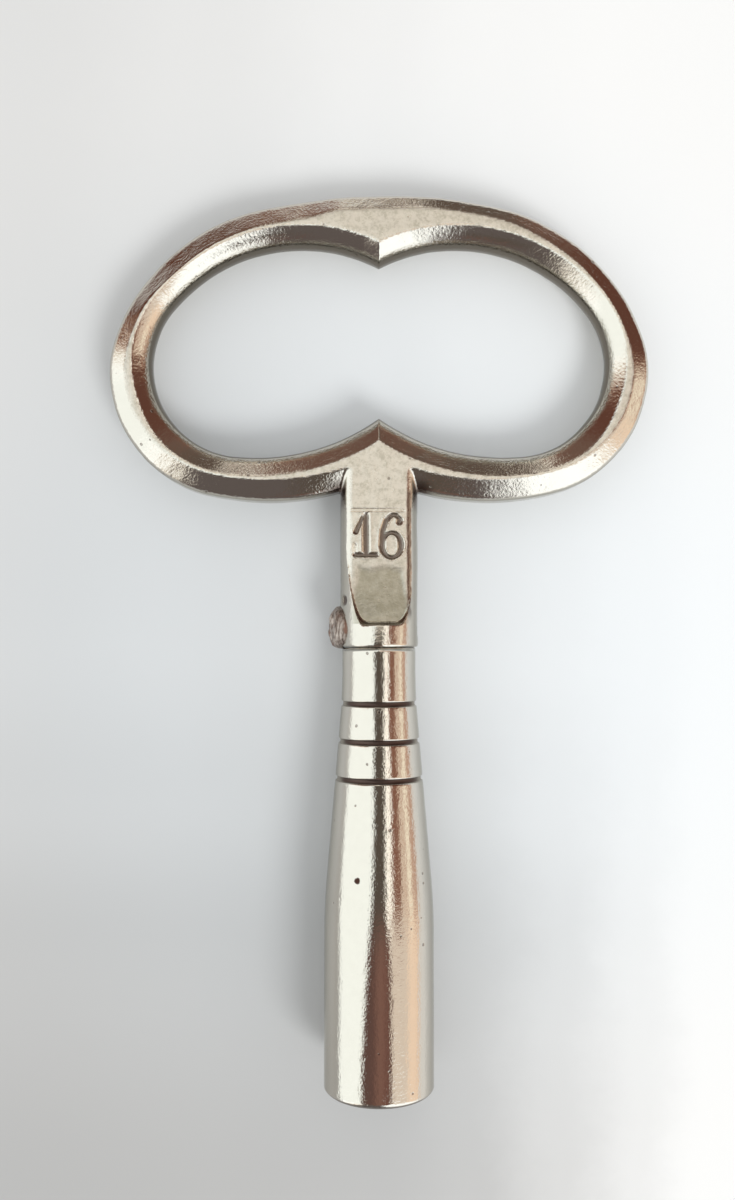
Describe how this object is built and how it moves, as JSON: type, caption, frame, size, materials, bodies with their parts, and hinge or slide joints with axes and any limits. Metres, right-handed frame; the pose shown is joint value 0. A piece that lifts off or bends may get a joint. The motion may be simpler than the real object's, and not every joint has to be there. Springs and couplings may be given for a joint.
{
  "type": "clock key",
  "caption": "Winding key for a clock: a round tapered barrel with a square socket, riveted to a flat oval ring handle with inner cusps.",
  "frame": {"origin": "centre of the square socket's mouth, in the plane of the barrel's end face", "axes": "+Y up the key's length towards the bow, +X across the bow, +Z out of the face that carries the size number"},
  "size_m": [0.0594, 0.0976, 0.012],
  "materials": {
    "barrel_nickel": "bright turned nickel plate with fine scratches",
    "bow_nickel": "worn nickel plate over a cast surface",
    "rivet_steel": "dull hammered steel, plate worn off"
  },
  "bodies": {
    "root": {"barrel": "barrel_nickel", "bow": "bow_nickel", "rivet": "rivet_steel"}
  },
  "joints": []
}
